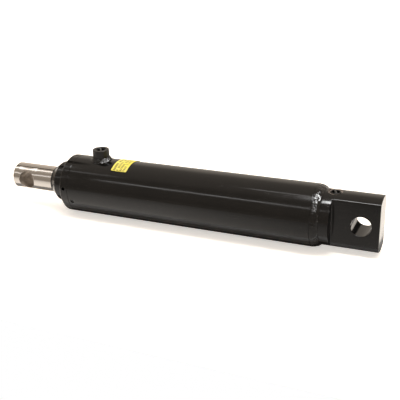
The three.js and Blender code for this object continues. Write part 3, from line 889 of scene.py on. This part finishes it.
def port_plug(name, node, body, web_turn):
    """A moulded plug: a threaded cup with a web across it to grip."""
    plug_low, plug_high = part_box(node)
    outer = radius_of(node)
    inner = outer - PLUG_WALL
    rim = plug_high.z - PLUG_RIM
    floor = plug_low.z + PLUG_FLOOR
    x = middle(plug_low, plug_high)[0]
    cup = eased([
        (plug_low.z, 0), (plug_low.z, outer), (rim, outer), (rim, inner), (floor, inner), (floor, 0),
    ], False, 0.45 * MM)
    start = next(i for i, (_, r) in enumerate(cup) if abs(r - outer) < TINY)
    cup[start + 1:start + 1] = threaded(plug_low.z + 1 * MM, rim - 2 * MM, outer, -THREAD_DEPTH)
    skin = Skin()
    skin.cover(spun(skin, cup, RING_COLUMNS, upright_at(x)))
    bottom = floor - 0.5 * MM
    height = plug_high.z - bottom
    size = (PLUG_WEB, 2 * inner + 0.4 * MM, height)
    add_box(skin, Vector((x, 0, bottom + height / 2)), size, web_turn, 0.4 * MM)
    piece(skin, name, body, [plastic], node)


def from_flat(angle):
    """How far an angle is from the middle of a hexagon's side. The hexagon has a corner at 0."""
    return angle % (math.pi / 3) - math.pi / 6


def lock_screw():
    """A headless screw: an eased cylinder with a hexagon socket."""
    origin, across, along, out = radial_axes(SCREW_X, SCREW_ANGLE)
    places = [vertex.co - origin for vertex in frame["nodes"]["gland_lock_screw"].data.vertices]
    heights = [place.dot(out) for place in places]
    radius = max(math.hypot(place.dot(across), place.dot(along)) for place in places)
    bottom, top = min(heights), max(heights)
    ease = 0.25 * MM
    socket_r = radius * 0.55
    floor = (bottom + top) / 2
    levels = [(bottom, 0, False), (bottom, radius - ease, False), (bottom + ease, radius, False)]
    levels += [(top - ease * down, radius - ease * inward, False) for down, inward in quarter(3)]
    levels += [(top, socket_r + ease, True), (top - ease / 2, socket_r, True), (floor, socket_r, True)]
    levels.append((floor, 0, False))
    skin = Skin()
    rings = []
    for height, reach, hexagonal in levels:
        ring = []
        for angle in turns(72) if reach else (0,):
            r = reach * math.cos(math.pi / 6) / math.cos(from_flat(angle)) if hexagonal else reach
            ring.append(origin + across * r * math.cos(angle) + along * r * math.sin(angle) + out * height)
        rings.append(skin.ring(ring))
    skin.cover(rings)
    piece(skin, "lock_screw", "barrel", [enamel], "gland_lock_screw")


# ---- Gland, rod and the round pieces inside ----

def gland():
    """The screwed-in head with its pin-spanner holes."""
    outline, closed = outline_of("gland")
    flange = [x for x, r in outline if r > BARREL_R - 2 * MM]
    x = (min(flange) + max(flange)) / 2
    stations = about(x, 1.75 * SPANNER_HOLE_R, 8)
    points = with_stations(eased(outline, closed, 0.45 * MM), BARREL_R, stations)
    skin = Skin()
    rings = spun(skin, points)
    rows = rows_between(points, BARREL_R, stations[0], stations[-1])
    pitch = 2 * math.pi / COLUMNS
    angles = [SPANNER_TURN + turn for turn in turns(SPANNER_HOLE_COUNT)]
    windows = [(*rows, round(a / pitch) - 4, round(a / pitch) + 4) for a in angles]
    skin.cover(rings, windows, closed=closed)
    floor = BARREL_R - SPANNER_HOLE_DEPTH
    for angle, window in zip(angles, windows):
        axes = radial_axes(x, angle)
        wall = skin.bore(skin.border(rings, window), axes, SPANNER_HOLE_R, 0.25 * MM, dome(BARREL_R))
        skin.sink(wall, axes, [(SPANNER_HOLE_R, floor)], floor - 0.6 * SPANNER_HOLE_R)
    piece(skin, "gland_head", "barrel", [enamel], "gland")


def piston_rod():
    """The chromed rod with its cross-hole, and the turned stub that carries the piston."""
    outline, closed = outline_of("piston_rod")
    stations = about(ROD_PIN_X, PIN_HOLE_R + 3.2 * MM, 36)
    points = with_stations(eased(outline, closed, 0.5 * MM), ROD_R, stations)
    skin = Skin()
    rings = spun(skin, points)
    rows = rows_between(points, ROD_R, stations[0], stations[-1])
    reach = round(62 / (360 / COLUMNS))
    windows = [(*rows, centre - reach, centre + reach) for centre in (0, COLUMNS // 2)]
    skin.cover(rings, windows, closed=closed)
    walls = [
        skin.bore(
            skin.border(rings, window), radial_axes(ROD_PIN_X, angle), PIN_HOLE_R, 0.5 * MM, dome(ROD_R))
        for window, angle in zip(windows, (0, math.pi))
    ]
    skin.bridge(*walls, finish=1, cuts=4)
    piece(skin, "chromed_piston_rod", "rod", [chromed, bored], "piston_rod")


def round_piece(name, node, body, finish, ease):
    outline, closed = outline_of(node)
    skin = Skin()
    skin.cover(spun(skin, eased(outline, closed, ease), RING_COLUMNS), closed=closed)
    piece(skin, name, body, [finish], node)


def o_ring(name, node, body):
    """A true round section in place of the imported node's eight-sided one."""
    outline, _ = outline_of(node)
    low_x, high_x = min(x for x, _ in outline), max(x for x, _ in outline)
    low_r, high_r = min(r for _, r in outline), max(r for _, r in outline)
    section = [(
        (low_x + high_x) / 2 + (high_x - low_x) / 2 * math.cos(angle),
        (low_r + high_r) / 2 + (high_r - low_r) / 2 * math.sin(angle),
    ) for angle in turns(28)]
    skin = Skin()
    skin.cover(spun(skin, section, RING_COLUMNS), closed=True)
    piece(skin, name, body, [rubber], node)


def lock_nut():
    """A hexagon nut whose corners are turned to a 30 degree chamfer at both faces."""
    low_corner, high_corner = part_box("piston_lock_nut")
    bore_r = min(r for _, r in outline_of("piston_lock_nut")[0])
    flat_r = high_corner.y
    corner_r = high_corner.z
    left, right = low_corner.x, high_corner.x
    face_r = flat_r * 0.97
    slope = math.tan(math.radians(30))
    levels = [left + depth * MM for depth in (0.02, 0.4, 0.9, 1.5, 2.4)]
    levels += [left + right - x for x in levels[::-1]]
    columns = 120
    skin = Skin()

    def hexagon(x, angle):
        turned = face_r + (min(x - left, right - x)) / slope
        return around(x, min(flat_r / math.cos(from_flat(angle + math.pi / 6)), turned, corner_r), angle)

    rings = spun(skin, [(left, bore_r + 0.3 * MM), (left, face_r - 0.2 * MM)], columns)
    rings += [skin.ring(hexagon(x, a) for a in turns(columns)) for x in levels]
    rings += spun(skin, [
        (right, face_r - 0.2 * MM), (right, bore_r + 0.3 * MM), (right - 0.3 * MM, bore_r),
        (left + 0.3 * MM, bore_r)], columns)
    skin.cover(rings, closed=True)
    piece(skin, "piston_nut", "rod", [steel], "piston_lock_nut")


def label():
    """Thin printed film with round corners, wrapped on the barrel."""
    label_low, label_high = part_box("label")
    outer = label_high.z
    inner = BARREL_R + 0.05 * MM
    start = math.acos(-label_low.y / outer) if label_low.y < 0 else 0
    end = math.acos(-label_high.y / outer)
    length = (end - start) * outer
    width = label_high.x - label_low.x
    round_r = 1.6 * MM
    rows = 64
    skin = Skin()

    def inset_at(along):
        """How far the round corners pull the film's edge in at this distance along it."""
        from_end = min(along, length - along)
        if from_end >= round_r:
            return 0
        return round_r - math.sqrt(max(round_r ** 2 - (round_r - from_end) ** 2, 0))

    alongs = [length * i / rows for i in range(rows + 1)]
    alongs = sorted(set(alongs + [round_r * f for f in (0.1, 0.3, 0.6, 1)]
                        + [length - round_r * f for f in (0.1, 0.3, 0.6, 1)]))
    rings = []
    for along in alongs:
        angle = start + along / outer
        inset = min(inset_at(along), width / 2 - MM)
        left, right = label_low.x + inset, label_high.x - inset
        section = [
            (left, inner), (left, outer - 0.05 * MM), (left + 0.06 * MM, outer), (right - 0.06 * MM, outer),
            (right, outer - 0.05 * MM), (right, inner),
        ]
        rings.append(skin.ring(around(x, r, angle) for x, r in section))
    skin.cover(rings)
    for ring in (rings[0], rings[-1]):
        skin.faces.append(tuple(ring))
        skin.finishes.append(0)
    piece(skin, "label_film", "barrel", [printed_film], "label")


barrel()
base_block()
base_weld()
port_weld()
port_boss()
port_plug("port_plug_cap", "rod_port_plug", "port_plug", ROD_PLUG_TURN)
port_plug("base_plug_cap", "base_port_plug", "base_plug", BASE_PLUG_TURN)
gland()
piston_rod()
label()
lock_nut()
lock_screw()
for name, node, body, slot, finish, ease in (
        ("rod_wiper", "wiper", "barrel", "polyurethane", black_urethane, 0.25 * MM),
        ("rod_u_cup", "rod_seal", "barrel", "polyurethane", urethane, 0.3 * MM),
        ("gland_backup", "gland_backup_ring", "barrel", "guide_ring", nylon, 0.15 * MM),
        ("front_rod_guide", "rod_guide_ring_front", "barrel", "guide_ring", nylon, 0.2 * MM),
        ("rear_rod_guide", "rod_guide_ring_rear", "barrel", "guide_ring", nylon, 0.2 * MM),
        ("front_piston_guide", "piston_guide_ring_front", "piston_seals", "guide_ring", nylon, 0.2 * MM),
        ("rear_piston_guide", "piston_guide_ring_rear", "piston_seals", "guide_ring", nylon, 0.2 * MM),
        ("piston_cap_seal", "piston_seal", "piston_seals", "polyurethane", urethane, 0.2 * MM),
        ("piston_body", "piston", "rod", "bare_steel", steel, 0.4 * MM)):
    round_piece(name, node, body, finish, ease)
for name, node, body in (
        ("gland_seal", "gland_o_ring", "barrel"),
        ("rod_static_seal", "piston_static_o_ring", "rod"),
        ("energiser", "piston_energiser_ring", "piston_seals")):
    o_ring(name, node, body)


# ---- Floor, light and camera ----

FLOOR_Z = cad_bounds[0].z
FLOOR_FRONT = -0.30
FLOOR_BACK = 3.0
FLOOR_SIDE = 3.0


def sheet(name, corners, material, seen=True):
    """A flat stage piece. One that isn't seen shows only in reflections."""
    mesh = bpy.data.meshes.new(name)
    mesh.from_pydata(corners, [], [(0, 1, 2, 3)])
    mesh.materials.append(material)
    made = bpy.data.objects.new(name, mesh)
    made.visible_camera = seen
    made.visible_diffuse = seen
    made.visible_shadow = seen
    bpy.context.scene.collection.objects.link(made)


def rectangle(low_corner, high_corner, z):
    (left, front), (right, back) = low_corner, high_corner
    return [(left, front, z), (right, front, z), (right, back, z), (left, back, z)]


def floor():
    """A pale floor that ends in front of the object."""
    recipe = Recipe("pale_floor")
    recipe.plug(recipe.shader, Emission_Color=(1.0, 0.97, 0.93), Emission_Strength=0.58)
    colour = recipe.ramp(recipe.noise(9, 3), (0.3, (0.95, 0.87, 0.78)), (0.7, (0.98, 0.90, 0.81)))
    material = recipe.finish(colour, recipe.between(0.6, 0.75, 30, 2))
    sheet("floor", rectangle((-FLOOR_SIDE, FLOOR_FRONT), (FLOOR_SIDE, FLOOR_BACK), FLOOR_Z), material)


# The studio by its angle in the YZ plane: 0 ahead of the object, 90 above, 180 behind. (degrees, radiance)
STUDIO = (
    (-180, 0.75), (-90, 0.45), (-12, 0.40), (4, 0.30), (25, 0.36), (60, 0.34), (75, 0.48), (100, 0.52),
    (120, 0.50), (136, 0.46), (150, 0.70), (168, 0.66), (180, 0.5),
)
STUDIO_TINT = (1.12, 0.99, 0.85)
BRIGHTEST = 2  # radiance of a ramp colour of 1


def studio():
    """A white room that the camera sees plain, and that reflections see darker ahead and above."""
    world = bpy.data.worlds.new("studio")
    bpy.context.scene.world = world
    world.use_nodes = True
    world.node_tree.nodes.clear()
    nodes = Nodes(world.node_tree)
    angle = nodes.angle_of(nodes.split(nodes.node("ShaderNodeTexCoord").outputs["Generated"]))
    share = nodes.range(angle, -math.pi, math.pi, 0, 1)
    tones = nodes.ramp(share, *(
        ((degrees + 180) / 360, [radiance / BRIGHTEST * tint for tint in STUDIO_TINT])
        for degrees, radiance in STUDIO))
    room = nodes.plug(nodes.node("ShaderNodeBackground"), Color=tones, Strength=BRIGHTEST)
    plain = nodes.plug(nodes.node("ShaderNodeBackground"), Color=(1, 1, 1))
    mix = nodes.node("ShaderNodeMixShader")
    nodes.plug(mix, Fac=nodes.node("ShaderNodeLightPath").outputs["Is Camera Ray"])
    nodes.feed(mix.inputs[1], room.outputs["Background"])
    nodes.feed(mix.inputs[2], plain.outputs["Background"])
    nodes.plug(nodes.node("ShaderNodeOutputWorld"), Surface=mix.outputs["Shader"])


def panel(name, centre, along, width, length, radiance, glossy=True, diffuse=True):
    """A rectangular light that faces the object, with its long side in the direction along."""
    light = bpy.data.lights.new(name, "AREA")
    light.shape = "RECTANGLE"
    light.size = length
    light.size_y = width
    light.energy = radiance * math.pi * length * width
    lamp = bpy.data.objects.new(name, light)
    away = (Vector(centre) - Vector((-0.25, 0, 0))).normalized()
    side = (Vector(along) - away * Vector(along).dot(away)).normalized()
    turn = Matrix((side, away.cross(side), away)).transposed()
    lamp.matrix_world = Matrix.Translation(centre) @ turn.to_4x4()
    lamp.visible_camera = False
    lamp.visible_glossy = glossy
    lamp.visible_diffuse = diffuse
    bpy.context.scene.collection.objects.link(lamp)


def flag(name, centre, width, length, shade, away=None):
    """A dark card that faces the object, or away, and shows only in reflections. Laid on the floor, it is
    painted shadow.
    """
    recipe = Recipe("dark_card")
    colour = recipe.ramp(recipe.noise(20, 2), (0.3, (shade,) * 3), (0.7, (1.3 * shade,) * 3))
    material = recipe.finish(colour, recipe.between(0.7, 0.9, 30, 2))
    away = away or (Vector(centre) - Vector((min(centre[0], 0), 0, 0))).normalized()
    side = (Vector((1, 0, 0)) - away * away.x).normalized()
    across = away.cross(side)
    sheet(name, [
        Vector(centre) + side * length / 2 * a + across * width / 2 * b
        for a, b in ((-1, -1), (1, -1), (1, 1), (-1, 1))], material, seen=False)


def floor_card(name, low_corner, high_corner, right_share, far_share, radiance):
    """A glowing card on the floor that shows only in reflections, dimmer to the right and to the back."""
    recipe = Recipe("floor_card")
    parts = recipe.split(recipe.place)
    by_x = recipe.range(parts["X"], -0.3, -0.02, 1, right_share)
    by_y = recipe.range(recipe.math("ABSOLUTE", parts["Y"]), 0.05, 0.2, 0.95, far_share)
    glow = recipe.mix(recipe.math("MULTIPLY", by_x, by_y), (0, 0, 0), (1.06, 0.99, 0.91))
    recipe.plug(recipe.shader, Emission_Color=glow, Emission_Strength=radiance, Specular_IOR_Level=0)
    colour = recipe.ramp(recipe.noise(20, 2), (0.3, (0, 0, 0)), (0.7, (0.01, 0.01, 0.01)))
    material = recipe.finish(colour, recipe.between(0.7, 0.9, 30, 2))
    sheet(name, rectangle(low_corner, high_corner, FLOOR_Z + 0.2 * MM), material, seen=False)


# The photo's view: turned from the front, raised, rolled a little, and aimed at a point near the axis.
VIEW_TURN = math.radians(24.1718)
VIEW_RISE = math.radians(22.524)
VIEW_ROLL = math.radians(-1.9057)
VIEW_AIM = Vector((-0.22466, 0, -0.00163))
VIEW_DISTANCE = 0.98753
VIEW_LENS = 64.59


def camera():
    data = bpy.data.cameras.new("camera")
    data.lens = VIEW_LENS
    data.sensor_width = 36
    eye = bpy.data.objects.new("camera", data)
    turn = Matrix.Rotation(VIEW_TURN, 4, "Z") @ Matrix.Rotation(math.pi / 2 - VIEW_RISE, 4, "X")
    turn = turn @ Matrix.Rotation(VIEW_ROLL, 4, "Z")
    eye.matrix_world = Matrix.Translation(VIEW_AIM) @ turn @ Matrix.Translation((0, 0, VIEW_DISTANCE))
    bpy.context.scene.collection.objects.link(eye)
    bpy.context.scene.camera = eye


DOWN = Vector((0, 0, -1))
PAINTED_SHADOW_Z = FLOOR_Z + 0.4 * MM  # of the painted shadow cards that lie on the floor under the rod and the barrel
floor()
studio()
panel("overhead", (-0.3, 0.7, 2.1), (1, 0, 0), 3.6, 4.4, 1.35, glossy=False)
panel("softbox", (-0.12, -0.17, 1.0), (1, 0, 0), 0.2, 0.3, 24)
panel("thin_strip", (-0.56, -0.71, 0.655), (0.54, -0.06, 0.06), 0.045, 0.6, 3.6)
panel("short_strip", (-0.37, -0.039, 0.995), (1, 0, 0.1), 0.05, 0.18, 2.2)
panel("left_strip", (-0.9, -0.368, 0.814), (1, 0, 0.2), 0.05, 0.14, 1.6)
panel("rod_upper_strip", (-1.09, -0.094, 0.834), (1, 0, 0.3), 0.12, 0.22, 2.1)
panel("rod_lower_strip", (-1.09, -0.68, 0.496), (1, 0, 0.2), 0.09, 0.22, 1.3)
panel("bead_upper_panel", (0.264, -0.045, 0.874), (1, 0, 0), 0.3, 0.3, 28, diffuse=False)
panel("bead_lower_panel", (0.34, -0.61, 0.59), (1, 0, 0), 0.2, 0.24, 12, diffuse=False)
flag("rod_flag", (-1.04, 0.247, 0.797), 0.17, 0.3, 0.01)
# Painted shadow: dark cards on the floor under the rod and the barrel stand in for the contact shadow that
# reflections see there.
flag("painted_shadow_under_rod", (-0.51, -0.016, PAINTED_SHADOW_Z + 0.1 * MM), 0.03, 0.13, 0.22, DOWN)
flag("painted_shadow_under_barrel_front", (-0.22, -0.035, PAINTED_SHADOW_Z), 0.021, 0.5, 0.75, DOWN)
flag("painted_shadow_under_barrel", (-0.22, 0.0478, PAINTED_SHADOW_Z), 0.1445, 0.5, 0.22, DOWN)
floor_card("front_card", (-0.75, FLOOR_FRONT), (0.3, -0.03), 0.5, 0.55, 1.24)
floor_card("back_card", (-1.2, 0.14), (0.03, 2.4), 0.9, 0.6, 0.95)
flag("back_right_flag", (0.45, 0.95, 0.19), 0.42, 0.55, 0.01)
camera()
bpy.context.scene.view_settings.view_transform = "Standard"
